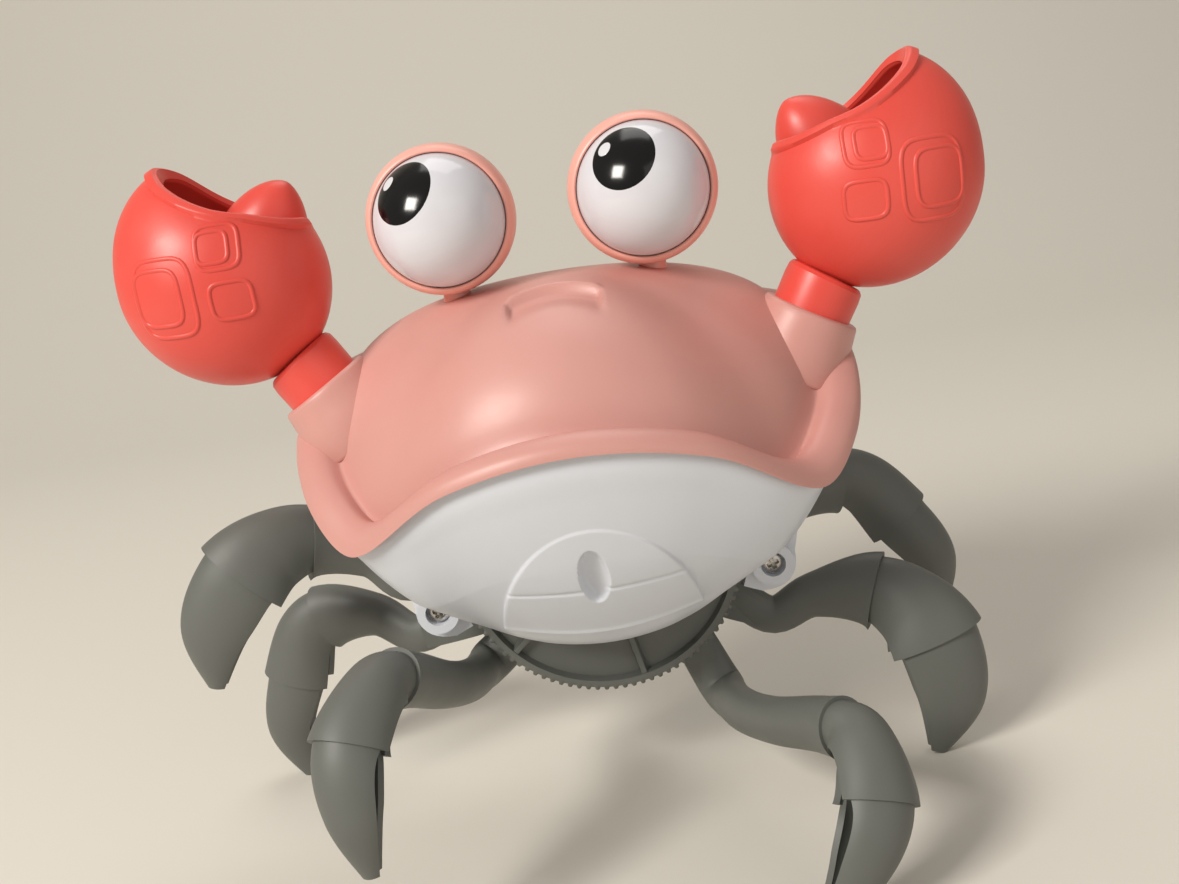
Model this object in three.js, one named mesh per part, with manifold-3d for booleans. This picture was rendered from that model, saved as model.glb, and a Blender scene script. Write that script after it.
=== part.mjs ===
// Walking toy crab: a pink carapace over a milky belly, two ball claws, two stalked eyes and
// six legs moulded as three rigid left-right pairs, each pair riding on an eccentric that the
// ribbed crank gear turns. Millimetres, +Z up, the crab faces -Y and stands on its leg tips.
import * as THREE from 'three';
import { mergeVertices } from 'three/addons/utils/BufferGeometryUtils.js';
import Module from 'manifold-3d';

const wasm = await Module();
wasm.setup();

// Carapace and belly.
const HALF_WIDTH = 53.5;
const HALF_DEPTH = 40;
const BODY_FORWARD = 5;
const SHELL_TOP = 56.5;
const SHELL_WALL = 1.8;
const VALLEY_AT = 0.84;
const VALLEY_RISE = 0.06;
const BRIM_ROLL = 0.09;
const BELLY_BOTTOM = -15.6;
const BELLY_FIT = 0.955;
const BELLY_BACK = 5.4;
const SEAT_GAP = 0.5;
// Crank train. The axle runs front to back and is the origin of the body's own coordinates.
const AXLE_RADIUS = 2;
const GEAR_MODULE = 0.6;
const GEAR_TEETH = 94;
const PINION_TEETH = 14;
const PINION_ANGLE = 55;
const GEAR_BACK = -1;
const GEAR_FRONT = 4;
const CRANK_THROW = 7;
const SHEAVE_RADIUS = 12;
const HUB_WALL = 4.6;
const RUNNING_GAP = 0.4;
const LEG_WALL = 1.3;
// Hub layers behind the gear, each with its crank angle and the tilt of its leg pair.
const LAYER_STEP = 5;
const LAYER_THICK = 4.4;
const LAYER_FIRST = -1.5;
// Claws and eyes.
const CLAW_RADIUS = 19.9;
const CLAW_WALL = 2.2;
const CLAW_LEAN = 30;
const MOUTH_TURN = 67;
const MOUTH_LEVEL = 0.72;
const COLLAR_RADIUS = 7.6;
const EYE_RADIUS = 13.8;
const EYEBALL_RADIUS = 12.1;
const EYE_SPREAD = 18.6;
const EYE_SINK = 0.8;
const EYE_HEIGHT = SHELL_TOP + EYE_RADIUS - EYE_SINK;
const EYE_FORWARD = 5;
const STALK_RADIUS = 2.6;
const COLLAR_X = 46.5;
const COLLAR_FORWARD = 2;
const COLLAR_Z = 41;

const rad = THREE.MathUtils.degToRad;
const lerp = THREE.MathUtils.lerp;

const pink = new THREE.MeshStandardMaterial({ color: 0xe6a596, roughness: 0.55, metalness: 0 });
const ringPink = new THREE.MeshStandardMaterial({ color: 0xecb3a6, roughness: 0.5, metalness: 0 });
const coral = new THREE.MeshStandardMaterial({ color: 0xde5046, roughness: 0.45, metalness: 0 });
const milky = new THREE.MeshStandardMaterial({ color: 0xe6e3e0, roughness: 0.4, metalness: 0 });
const white = new THREE.MeshStandardMaterial({ color: 0xf2f0ee, roughness: 0.2, metalness: 0 });
const grey = new THREE.MeshStandardMaterial({ color: 0x5f6460, roughness: 0.6, metalness: 0 });
const steel = new THREE.MeshStandardMaterial({ color: 0xb9bbbd, roughness: 0.3, metalness: 1 });
const green = new THREE.MeshStandardMaterial({ color: 0x2f6b45, roughness: 0.5, metalness: 0 });
const black = new THREE.MeshStandardMaterial({ color: 0x18181a, roughness: 0.3, metalness: 0 });
const blue = new THREE.MeshStandardMaterial({ color: 0x3a6ea8, roughness: 0.4, metalness: 0 });

const crab = new THREE.Group();
const body = new THREE.Group();
crab.add(body);

function piece(name, geometry, material, parent = body) {
  const mesh = new THREE.Mesh(geometry, material);
  mesh.name = name;
  parent.add(mesh);
  return mesh;
}

// Booleans: a closed geometry goes in as a solid and comes back as a geometry.
function solid(geometry) {
  const bare = geometry.clone();
  bare.deleteAttribute('normal');
  bare.deleteAttribute('uv');
  const merged = mergeVertices(bare, 1e-4);
  return new wasm.Manifold(new wasm.Mesh({
    numProp: 3,
    vertProperties: new Float32Array(merged.attributes.position.array),
    triVerts: new Uint32Array(merged.index.array),
  }));
}

function geometryOf(manifold) {
  const mesh = manifold.getMesh();
  const geometry = new THREE.BufferGeometry();
  geometry.setAttribute('position', new THREE.BufferAttribute(new Float32Array(mesh.vertProperties), 3));
  geometry.setIndex(new THREE.BufferAttribute(new Uint32Array(mesh.triVerts), 1));
  return geometry;
}

function box(x0, x1, f0, f1, z0, z1) {
  const geometry = new THREE.BoxGeometry(x1 - x0, f1 - f0, z1 - z0);
  return geometry.translate((x0 + x1) / 2, -(f0 + f1) / 2, (z0 + z1) / 2);
}

// A round bar along the front-back axis from f0 to f1, forward being positive.
function bar(radius, f0, f1, x = 0, z = 0, sides = 32) {
  const geometry = new THREE.CylinderGeometry(radius, radius, f1 - f0, sides);
  return geometry.translate(x, -(f0 + f1) / 2, z);
}

// A flat outline in the X-Z plane, extruded from f0 to f1.
function plate(shape, f0, f1, curveSegments = 24) {
  const geometry = new THREE.ExtrudeGeometry(shape, { depth: f1 - f0, bevelEnabled: false, curveSegments });
  geometry.rotateX(Math.PI / 2);
  return geometry.translate(0, -f0, 0);
}

// Height of the carapace brim round its plan: an arch in front, low corners, rising to the back.
const brimStations = [[0, 32], [24, 28], [50, 16.5], [68, 22], [90, 33], [115, 42], [180, 46]];
const brimCurve = new THREE.CatmullRomCurve3(
  brimStations.map(([angle, height]) => new THREE.Vector3(angle, height, 0)), false, 'centripetal');
const brimSamples = brimCurve.getPoints(120);
function brimHeight(theta) {
  const angle = Math.abs(THREE.MathUtils.radToDeg(Math.atan2(Math.sin(theta), Math.cos(theta))));
  const next = brimSamples.findIndex((p) => p.x >= angle - 1e-6);
  if (next <= 0) return brimSamples[0].y;
  const a = brimSamples[next - 1];
  const b = brimSamples[next];
  return lerp(a.y, b.y, (angle - a.x) / (b.x - a.x));
}

// Dome height over the brim at a fraction of the plan radius: dome, valley, then rolled brim.
function domeRise(fraction) {
  if (fraction < VALLEY_AT) {
    return VALLEY_RISE + (1 - VALLEY_RISE) * (1 - (fraction / VALLEY_AT) ** 2.3) ** 0.62;
  }
  const out = (fraction - VALLEY_AT) / (1 - VALLEY_AT);
  return VALLEY_RISE * (1 - out) + BRIM_ROLL * Math.sin(Math.PI * out);
}

// A turned profile whose points are plan fraction and depth, swept round the body's oval plan.
function ovalLathe(points, segments, place) {
  const profile = points.map(([fraction, depth]) => new THREE.Vector2(fraction, depth));
  const geometry = new THREE.LatheGeometry(profile, segments);
  const position = geometry.attributes.position;
  for (let i = 0; i < position.count; i += 1) {
    const x = position.getX(i);
    const z = position.getZ(i);
    const fraction = Math.hypot(x, z);
    const theta = fraction < 1e-9 ? 0 : Math.atan2(x, z);
    const p = place(fraction, theta, position.getY(i));
    position.setXYZ(i, p[0], -p[1], p[2]);
  }
  return mergeOutward(geometry);
}

function mergeOutward(geometry) {
  const bare = geometry.clone();
  bare.deleteAttribute('normal');
  bare.deleteAttribute('uv');
  let merged = mergeVertices(bare, 1e-4);
  const kept = [];
  const index = merged.index.array;
  for (let i = 0; i < index.length; i += 3) {
    if (index[i] !== index[i + 1] && index[i + 1] !== index[i + 2] && index[i] !== index[i + 2]) {
      kept.push(index[i], index[i + 1], index[i + 2]);
    }
  }
  merged.setIndex(kept);
  const p = merged.attributes.position;
  const a = new THREE.Vector3();
  const b = new THREE.Vector3();
  const c = new THREE.Vector3();
  let volume = 0;
  for (let i = 0; i < kept.length; i += 3) {
    a.fromBufferAttribute(p, kept[i]);
    b.fromBufferAttribute(p, kept[i + 1]);
    c.fromBufferAttribute(p, kept[i + 2]);
    volume += a.dot(b.cross(c));
  }
  if (volume < 0) {
    for (let i = 0; i < kept.length; i += 3) {
      [kept[i + 1], kept[i + 2]] = [kept[i + 2], kept[i + 1]];
    }
    merged.setIndex(kept);
  }
  return merged;
}

// Carapace: a thin dome over the whole plan, open underneath.
const outerRun = [];
const innerRun = [];
for (let i = 0; i <= 10; i += 1) {
  const fraction = Math.sin((i / 10) * Math.PI / 2) ** 0.9;
  outerRun.push([fraction, 0]);
  innerRun.unshift([fraction * 0.985, -SHELL_WALL]);
}
const shellPlace = (fraction, theta, depth) => {
  const reach = Math.min(fraction, 1);
  const rim = brimHeight(theta);
  return [
    HALF_WIDTH * fraction * Math.sin(theta),
    BODY_FORWARD + HALF_DEPTH * fraction * Math.cos(theta),
    rim + (SHELL_TOP - rim) * domeRise(reach) + depth,
  ];
};
let carapace = solid(ovalLathe([...outerRun, ...innerRun], 40, shellPlace));
for (const side of [-1, 1]) {
  const collarHole = new THREE.CylinderGeometry(COLLAR_RADIUS + 0.35, COLLAR_RADIUS + 0.35, 26, 28);
  collarHole.rotateX(Math.PI / 2).rotateY(rad(side * CLAW_LEAN));
  carapace = carapace.subtract(solid(collarHole.translate(side * COLLAR_X, -COLLAR_FORWARD, COLLAR_Z)));
  const stalkHole = new THREE.CylinderGeometry(STALK_RADIUS + 0.9, STALK_RADIUS + 0.9, 30, 20);
  stalkHole.rotateX(Math.PI / 2).translate(side * EYE_SPREAD, -EYE_FORWARD + 3, SHELL_TOP);
  carapace = carapace.subtract(solid(stalkHole));
}
piece('carapace', geometryOf(carapace), pink);

// Belly and back shell come from one bowl under the brim, cut where the crank train runs.
function bowl(scale, drop, lift = 0) {
  const side = [[0, 1], [0.2, 0.975], [0.38, 0.895], [0.54, 0.765], [0.7, 0.6], [0.84, 0.41],
    [0.95, 0.2], [1, 0.06], [1, 0]];
  const top = [[0.8, 0], [0, 0]];
  return ovalLathe([...side, ...top], 44, (fraction, theta, depth) => {
    const brim = brimHeight(theta);
    const seat = brim + 0.6 * (SHELL_TOP - brim) * domeRise(BELLY_FIT) - SHELL_WALL - SEAT_GAP;
    const rim = lift + lerp(40, seat, Math.min(1, fraction / 0.8));
    const reach = BELLY_FIT * scale * fraction;
    return [
      HALF_WIDTH * reach * Math.sin(theta),
      BODY_FORWARD + HALF_DEPTH * reach * Math.cos(theta),
      lerp(rim, BELLY_BOTTOM + drop, depth),
    ];
  });
}
const outerBowl = solid(bowl(1, 0));
const innerBowl = solid(bowl(0.95, 2, 12));
const frontHalf = solid(box(-70, 70, BELLY_BACK, 70, -40, 70));
const frontRoom = solid(box(-70, 70, BELLY_BACK + 2.2, 70, -40, 70));
// The raised flap on the belly: an arch-headed panel standing 1.6 mm proud of the bowl.
const flapShape = new THREE.Shape();
flapShape.moveTo(-18, 0.5);
flapShape.lineTo(18, 0.5);
flapShape.quadraticCurveTo(14, 9, 7.5, 15.5);
flapShape.quadraticCurveTo(0, 21, -7.5, 15.5);
flapShape.quadraticCurveTo(-14, 9, -18, 0.5);
const flapRoom = solid(plate(flapShape, 20, 60, 8));
const proudBowl = solid(bowl(1.035, -0.6)).intersect(flapRoom);
const belly = outerBowl.add(proudBowl).intersect(frontHalf)
  .subtract(innerBowl.intersect(frontRoom));
piece('belly', geometryOf(belly), milky);

const BACK_SHELL = -23;
const backHalf = solid(box(-70, 70, -70, BACK_SHELL, -40, 70));
const backRoom = solid(box(-70, 70, -70, BACK_SHELL - 1.8, -40, 70));
const backInner = solid(bowl(0.95, 2, 12));
const switchSlot = solid(box(-9, 9, -60, BACK_SHELL - 1, 19, 24.2));
const backShell = outerBowl.intersect(backHalf).subtract(backInner.intersect(backRoom))
  .subtract(switchSlot);
piece('back_shell', geometryOf(backShell), milky);

// Chassis: a deck over the crank train, a front plate round the gear and a rear bearing wall.
const frontShape = new THREE.Shape();
frontShape.moveTo(-27, 35);
frontShape.lineTo(-42, 26);
frontShape.quadraticCurveTo(-42, 8, -38.4, -5);
frontShape.quadraticCurveTo(-39, -13, -31, -12.6);
frontShape.lineTo(-25, -10);
frontShape.lineTo(-25, 20);
frontShape.lineTo(25, 20);
frontShape.lineTo(25, -10);
frontShape.lineTo(31, -12.6);
frontShape.quadraticCurveTo(39, -13, 38.4, -5);
frontShape.quadraticCurveTo(42, 8, 42, 26);
frontShape.lineTo(27, 35);
const gearTip = GEAR_MODULE * (GEAR_TEETH / 2 + 1);
const centreDistance = GEAR_MODULE * (GEAR_TEETH + PINION_TEETH) / 2 + 0.06;
const pinionX = centreDistance * Math.cos(rad(PINION_ANGLE));
const pinionZ = centreDistance * Math.sin(rad(PINION_ANGLE));
const BOSS_X = 33.6;
const BOSS_Z = -6.6;
let chassis = solid(plate(frontShape, GEAR_BACK, 2, 10));
chassis = chassis.subtract(solid(bar(gearTip + 0.8, -6, 8, 0, 0, 72)));
chassis = chassis.subtract(solid(bar(GEAR_MODULE * (PINION_TEETH / 2 + 1) + 0.8, -6, 8, pinionX, pinionZ, 24)));
chassis = chassis.add(solid(box(-30, 30, -22.6, 2, 33.4, 36)));
chassis = chassis.add(solid(box(-22, 22, -22.6, -19.6, -9, 36)));
chassis = chassis.add(solid(box(-22, 22, -23.6, -22, -9, 5)));
for (const side of [-1, 1]) {
  chassis = chassis.add(solid(bar(4.25, 1, 4.4, side * BOSS_X, BOSS_Z, 24)));
  chassis = chassis.subtract(solid(bar(2.5, 2.4, 8, side * BOSS_X, BOSS_Z, 20)));
  chassis = chassis.subtract(solid(bar(1.2, -0.2, 8, side * BOSS_X, BOSS_Z, 12)));
  chassis = chassis.add(solid(box(side * 38 - 3, side * 38 + 3, 1, BELLY_BACK - 0.3, 14, 22)));
}
chassis = chassis.subtract(solid(bar(AXLE_RADIUS + 0.3, -40, -10, 0, 0, 20)));
piece('chassis', geometryOf(chassis), milky);

for (const [side, word] of [[-1, 'left'], [1, 'right']]) {
  const run = [[0, 3.8], [0.9, 3.7], [1.9, 2.9], [2, 2.75], [0.9, 2.7], [0.9, 0.2], [0, 0.2]];
  const screw = new THREE.LatheGeometry(run.map(([r, f]) => new THREE.Vector2(r, f)).reverse(), 20);
  const mesh = piece(`screw_${word}`, mergeOutward(screw.rotateX(Math.PI)), steel);
  mesh.position.set(side * BOSS_X, 0, BOSS_Z);
}

// Gear outline: straight-flanked teeth with the corners taken off, thinned for backlash.
function gearShape(teeth, backlash) {
  const pitch = GEAR_MODULE * teeth / 2;
  const step = Math.PI * 2 / teeth;
  const half = Math.PI * GEAR_MODULE / 4 - backlash / 2;
  const shape = new THREE.Shape();
  for (let i = 0; i < teeth; i += 1) {
    const corners = [[-0.8, 1.25], [0.65, 0.6], [0.65, -0.6], [-0.8, -1.25]];
    for (const [rise, width] of corners) {
      const radius = pitch + rise * GEAR_MODULE;
      const angle = i * step - width * half / pitch;
      const x = radius * Math.cos(angle);
      const y = radius * Math.sin(angle);
      if (i === 0 && rise < 0 && width > 0) shape.moveTo(x, y);
      else shape.lineTo(x, y);
    }
  }
  return shape;
}

const crank = new THREE.Group();
body.add(crank);
// Crank gear: a rim wall and six spokes standing over a recessed web.
let gear = solid(plate(gearShape(GEAR_TEETH, 0.3), GEAR_BACK, GEAR_FRONT));
const dish = new THREE.Shape();
dish.absarc(0, 0, gearTip - 3.2, 0, Math.PI * 2);
let hollow = solid(plate(dish, GEAR_BACK + 2, GEAR_FRONT + 1, 40));
hollow = hollow.subtract(solid(bar(5, GEAR_BACK, GEAR_FRONT + 2, 0, 0, 24)));
for (let i = 0; i < 3; i += 1) {
  const rib = new THREE.BoxGeometry(2 * gearTip, 10, 1.9);
  rib.rotateY(rad(18.5 + 60 * i));
  hollow = hollow.subtract(solid(rib));
}
gear = gear.subtract(hollow).subtract(solid(bar(AXLE_RADIUS + 0.3, -10, 10, 0, 0, 20)));
piece('crank_gear', geometryOf(gear), grey, crank);
piece('axle', bar(AXLE_RADIUS, -22.2, BELLY_BACK - 0.3, 0, 0, 16), steel, crank);

const pairs = [
  { word: 'front', crankAngle: 31, tilt: 15.6 },
  { word: 'middle', crankAngle: 80, tilt: 14.3 },
  { word: 'rear', crankAngle: 180, tilt: -7 },
];

// A leg grows along its centre line from a round root to an armoured knee and a curved tip.
// Stations hold the place beside the hub, how far forward it is, the half width and the depth.
// Rows say how far along the leg a ring of points lies and how much it swells there.
function legGeometry(stations, sides, rows, grow = 0, inset = 0) {
  const curve = new THREE.CatmullRomCurve3(
    stations.map(([x, f, z]) => new THREE.Vector3(x, -f, z)), false, 'centripetal');
  const tube = new THREE.CylinderGeometry(1, 1, 1, sides, rows.length - 1);
  const position = tube.attributes.position;
  const forward = new THREE.Vector3(0, -1, 0);
  for (let i = 0; i < position.count; i += 1) {
    const [t, swell] = rows[Math.round((0.5 - position.getY(i)) * (rows.length - 1))];
    const centre = curve.getPoint(t);
    const tangent = curve.getTangent(t);
    const across = new THREE.Vector3().crossVectors(tangent, forward).normalize();
    const deep = new THREE.Vector3().crossVectors(across, tangent).normalize();
    const place = t * (stations.length - 1);
    const from = Math.min(Math.floor(place), stations.length - 2);
    const blend = place - from;
    const wide = lerp(stations[from][3], stations[from + 1][3], blend);
    const depth = lerp(stations[from][4], stations[from + 1][4], blend);
    centre.addScaledVector(across, position.getX(i) * (wide * swell + grow) + inset * wide);
    centre.addScaledVector(deep, position.getZ(i) * (depth * swell + grow));
    position.setXYZ(i, centre.x, centre.y, centre.z);
  }
  return mergeOutward(tube);
}

// Each armour segment flares to a rim that overlaps the next one, at the two rings of the leg.
function armourRows(first, second) {
  return [[0, 1], [first * 0.35, 1], [first * 0.7, 1], [first * 0.9, 1.03], [first, 1.1], [first + 0.01, 0.95],
    [lerp(first, second, 0.35), 1], [lerp(first, second, 0.7), 1.03], [second, 1.1], [second + 0.01, 0.96],
    [lerp(second, 1, 0.25), 1], [lerp(second, 1, 0.5), 1], [lerp(second, 1, 0.75), 1], [1, 1]];
}

function mirrored(geometry) {
  return mergeOutward(geometry.clone().scale(-1, 1, 1));
}

// Stations of the right leg of each pair beside its hub: x, forward, z, half width, half depth.
const legRings = { front: [0.5, 0.71], middle: [0.36, 0.655], rear: [0.36, 0.66] };
const legStations = {
  front: [[24.5, -4, -33.5, 3.4, 3.4], [26, 5, -32.5, 3.6, 3.4], [31.5, 20, -28, 4.2, 3.8],
    [37.5, 34, -21.2, 5.2, 4.4], [41, 42, -19.5, 6, 5], [43.4, 50, -27.2, 6.9, 5.4],
    [41.3, 54, -36.5, 5.6, 4.2], [37.9, 54, -46.9, 1.9, 1.6]],
  middle: [[38, -8.7, -20.5, 3.6, 3], [46, -8, -15.2, 4.6, 3.6], [56.7, -5, -11.8, 7.4, 4.6],
    [64, -1.5, -13.7, 9, 5.4], [69.5, 1, -19.7, 9.8, 5.8], [74, 2, -30.7, 8.2, 4.8],
    [74, 2, -42.4, 2.2, 1.8]],
  rear: [[37, -15, -13.4, 3.6, 3], [46, -21, -8.6, 4.6, 3.6], [57.2, -26, -7.6, 6.8, 4.6],
    [64, -27.5, -11, 7.4, 5.2], [69.6, -28, -21, 7.5, 5.4], [75, -28, -32, 6.1, 4.6],
    [74.4, -28, -43.9, 2.2, 1.8]],
};

pairs.forEach(({ word, crankAngle, tilt }, layer) => {
  const f1 = LAYER_FIRST - layer * LAYER_STEP;
  const f0 = f1 - LAYER_THICK;
  const pinX = CRANK_THROW * Math.cos(rad(crankAngle));
  const pinZ = CRANK_THROW * Math.sin(rad(crankAngle));
  const sheave = solid(bar(SHEAVE_RADIUS, f0, f1, pinX, pinZ, 40))
    .subtract(solid(bar(AXLE_RADIUS + 0.3, -40, 40, 0, 0, 20)));
  piece(`eccentric_${word}`, geometryOf(sheave), grey, crank);

  const pair = new THREE.Group();
  pair.position.set(pinX, 0, pinZ);
  pair.rotation.y = rad(tilt);
  body.add(pair);
  const stations = legStations[word];
  const root = stations[0];
  let hub = solid(bar(SHEAVE_RADIUS + RUNNING_GAP + HUB_WALL, f0 + 0.2, f1 - 0.2, 0, 0, 40));
  const armX = root[0] - 1.6;
  const armZ = root[2] * (armX / root[0]);
  const arm = new THREE.Shape();
  arm.moveTo(-13, -4);
  arm.lineTo(13, -4);
  arm.quadraticCurveTo(lerp(13, armX, 0.6), lerp(-4, armZ, 0.5), armX, armZ + 3);
  arm.lineTo(armX, armZ - 3);
  arm.quadraticCurveTo(lerp(8, armX, 0.5), lerp(-15, armZ, 0.7) - 3, 8, -15);
  arm.lineTo(-8, -15);
  arm.quadraticCurveTo(-lerp(8, armX, 0.5), lerp(-15, armZ, 0.7) - 3, -armX, armZ - 3);
  arm.lineTo(-armX, armZ + 3);
  arm.quadraticCurveTo(-lerp(13, armX, 0.6), lerp(-4, armZ, 0.5), -13, -4);
  hub = hub.add(solid(plate(arm, f0 + 0.2, f1 - 0.2, 8)));
  hub = hub.subtract(solid(bar(SHEAVE_RADIUS + RUNNING_GAP, -60, 40, 0, 0, 40)));
  const rows = armourRows(...legRings[word]);
  const legRoom = legGeometry(stations, 10, rows, 0.35);
  hub = hub.subtract(solid(legRoom)).subtract(solid(mirrored(legRoom)));
  piece(`hub_${word}`, geometryOf(hub), grey, pair);
  // Knee and tip are open along their inner side, like a trough with LEG_WALL thick walls.
  const troughStart = lerp(legRings[word][0], legRings[word][1], 0.25);
  const troughRows = [0, 0.2, 0.4, 0.6, 0.8, 1].map((step) => [lerp(troughStart, 0.97, step), 1]);
  const trough = legGeometry(stations, 8, troughRows, -LEG_WALL, 0.55);
  const leg = geometryOf(solid(legGeometry(stations, 10, rows)).subtract(solid(trough)));
  piece(`leg_${word}_right`, leg, grey, pair);
  piece(`leg_${word}_left`, mirrored(leg), grey, pair);
});

// Motor with its pinion in mesh with the crank gear, and the power pieces on the deck.
const pinion = solid(plate(gearShape(PINION_TEETH, 0.3), GEAR_BACK + 0.4, GEAR_FRONT - 0.4))
  .subtract(solid(bar(1.2, -10, 10, 0, 0, 12)));
const pinionMesh = piece('motor_pinion', geometryOf(pinion), white);
pinionMesh.position.set(pinionX, 0, pinionZ);
// Turned so that one of its gaps faces the gear tooth on the line of centres.
const gearPhase = (PINION_ANGLE * GEAR_TEETH / 360) % 1;
pinionMesh.rotation.y = -rad(PINION_ANGLE + 180 - (0.5 - gearPhase) * 360 / PINION_TEETH);
piece('motor_shaft', bar(0.9, -2, GEAR_FRONT - 0.2, pinionX, pinionZ, 12), steel);
piece('motor', bar(6.2, -18.8, -2.3, pinionX, pinionZ, 28), steel);
const cell = new THREE.CylinderGeometry(5.6, 5.6, 38, 20).rotateZ(Math.PI / 2);
piece('battery', cell.translate(0, 11, 41.9), blue);
piece('circuit_board', box(-22, 22, -4, 1.6, 36.3, 37.9), green);
const coneRun = [[0, 0], [12, 0], [12, 3], [9, 4.5], [5, 6], [0, 6]];
const speaker = new THREE.LatheGeometry(coneRun.map(([r, h]) => new THREE.Vector2(r, h)), 28);
piece('speaker', mergeOutward(speaker.rotateX(Math.PI)), black).position.set(0, -BELLY_BACK - 2.5, 6);
const slider = solid(box(-7.5, -0.5, -29.6, BACK_SHELL - 1.3, 19.4, 23.8));
piece('switch_slider', geometryOf(slider), black);

// Claws: hollow balls with a slanting open mouth, each turning on a collar set in the shell.
for (const [side, word] of [[-1, 'left'], [1, 'right']]) {
  const claw = new THREE.Group();
  claw.position.set(side * COLLAR_X, -COLLAR_FORWARD, COLLAR_Z);
  claw.rotation.y = rad(side * CLAW_LEAN);
  body.add(claw);
  const collarRun = [[0, -7], [COLLAR_RADIUS - 0.6, -7], [COLLAR_RADIUS, -6.2],
    [COLLAR_RADIUS, 5.6], [COLLAR_RADIUS - 0.9, 6.6], [0, 6.6]];
  const collar = new THREE.LatheGeometry(collarRun.map(([r, h]) => new THREE.Vector2(r, h)), 28);
  piece(`collar_${word}`, mergeOutward(collar.rotateX(Math.PI / 2)), coral, claw);

  const centre = CLAW_RADIUS + 7.2;
  const shift = side * 3;
  let ball = solid(new THREE.SphereGeometry(CLAW_RADIUS, 24, 14).rotateX(Math.PI / 2)
    .scale(1, 0.82, 1).translate(shift, 0, centre));
  const inside = solid(new THREE.SphereGeometry(CLAW_RADIUS - CLAW_WALL, 16, 9).rotateX(Math.PI / 2)
    .scale(1, 0.81, 1).translate(shift, 0, centre));
  // The mouth is a flat cut that looks inwards and up. A pointed finger stands at its outer end
  // and a blunt thumb rises from the back wall inside it.
  const turn = side * -MOUTH_TURN;
  const atMouth = (along, back, up) => new THREE.Vector3(-side * along * CLAW_RADIUS, back * CLAW_RADIUS,
    up * CLAW_RADIUS).applyAxisAngle(new THREE.Vector3(0, 1, 0), rad(turn)).add(new THREE.Vector3(shift, 0, centre));
  const cut = new THREE.BoxGeometry(60, 60, 40).translate(0, 0, 20 + MOUTH_LEVEL * CLAW_RADIUS);
  cut.rotateY(rad(turn)).translate(shift, 0, centre);
  const fingerTip = atMouth(-0.8, 0, 0.76);
  const fingerRoot = atMouth(-0.58, 0, 0.36);
  const finger = new THREE.ConeGeometry(0.36 * CLAW_RADIUS, fingerTip.distanceTo(fingerRoot), 14);
  finger.translate(0, fingerTip.distanceTo(fingerRoot) / 2, 0);
  finger.applyQuaternion(new THREE.Quaternion().setFromUnitVectors(
    new THREE.Vector3(0, 1, 0), fingerTip.clone().sub(fingerRoot).normalize()));
  finger.translate(fingerRoot.x, fingerRoot.y, fingerRoot.z);
  const thumbPlace = atMouth(0.16, 0.36, 0.68);
  const thumb = new THREE.SphereGeometry(0.38 * CLAW_RADIUS, 14, 10);
  thumb.translate(thumbPlace.x, thumbPlace.y, thumbPlace.z);
  ball = ball.subtract(inside).subtract(solid(cut)).add(solid(finger).subtract(inside)).add(solid(thumb));
  const foot = solid(new THREE.CylinderGeometry(6, 6, 4, 24).rotateX(Math.PI / 2).translate(0, 0, 8.9));
  ball = ball.add(foot.subtract(inside));
  piece(`claw_${word}`, geometryOf(ball), coral, claw);

  // Eye: a cup and stalk in one, with the ball seated in the cup.
  const eye = new THREE.Group();
  eye.position.set(side * EYE_SPREAD, -EYE_FORWARD, EYE_HEIGHT);
  body.add(eye);
  let cup = solid(new THREE.SphereGeometry(EYE_RADIUS, 22, 12));
  cup = cup.subtract(solid(box(-20, 20, 4.6, 20, -20, 20)));
  cup = cup.subtract(solid(new THREE.SphereGeometry(EYEBALL_RADIUS + 0.35, 18, 10).translate(0, -2.2, 0)));
  const stalk = new THREE.CylinderGeometry(STALK_RADIUS, STALK_RADIUS + 0.6, 6, 20).rotateX(Math.PI / 2);
  cup = cup.add(solid(stalk.translate(0, 3, -EYE_RADIUS - 1.8)));
  piece(`eye_cup_${word}`, geometryOf(cup), ringPink, eye);
  const ballGeometry = new THREE.SphereGeometry(EYEBALL_RADIUS, 18, 10).translate(0, -2.2, 0);
  piece(`eyeball_${word}`, mergeOutward(ballGeometry), white, eye);
}

// The part stands on its lowest tips with its origin under the middle of its outline.
const bounds = new THREE.Box3().setFromObject(crab, true);
crab.position.set(-(bounds.min.x + bounds.max.x) / 2, -(bounds.min.y + bounds.max.y) / 2, -bounds.min.z);

export default crab;
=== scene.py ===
# Walking toy crab, dressed piece by piece in the order it is put together.
# The crab stands on its leg tips and faces -Y. Sizes in the sections are in millimetres, measured
# from the crank axle: sideways, forward and up.
import math

import bmesh
import bpy
from mathutils import Matrix, Vector


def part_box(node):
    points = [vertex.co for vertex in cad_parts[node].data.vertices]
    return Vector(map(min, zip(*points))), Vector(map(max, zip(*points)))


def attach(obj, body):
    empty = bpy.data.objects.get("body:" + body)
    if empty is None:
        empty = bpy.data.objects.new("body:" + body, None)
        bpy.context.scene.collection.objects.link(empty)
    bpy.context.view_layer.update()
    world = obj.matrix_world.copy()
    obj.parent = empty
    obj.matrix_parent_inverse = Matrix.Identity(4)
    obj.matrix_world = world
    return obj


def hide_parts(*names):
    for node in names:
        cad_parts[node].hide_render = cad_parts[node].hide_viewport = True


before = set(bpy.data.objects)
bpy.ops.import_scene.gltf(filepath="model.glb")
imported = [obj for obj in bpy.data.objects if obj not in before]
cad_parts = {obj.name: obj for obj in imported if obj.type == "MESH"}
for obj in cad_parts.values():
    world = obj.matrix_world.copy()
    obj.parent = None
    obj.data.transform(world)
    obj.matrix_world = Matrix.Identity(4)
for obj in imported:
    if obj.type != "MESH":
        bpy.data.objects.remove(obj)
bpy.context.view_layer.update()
scene = bpy.context.scene
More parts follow.
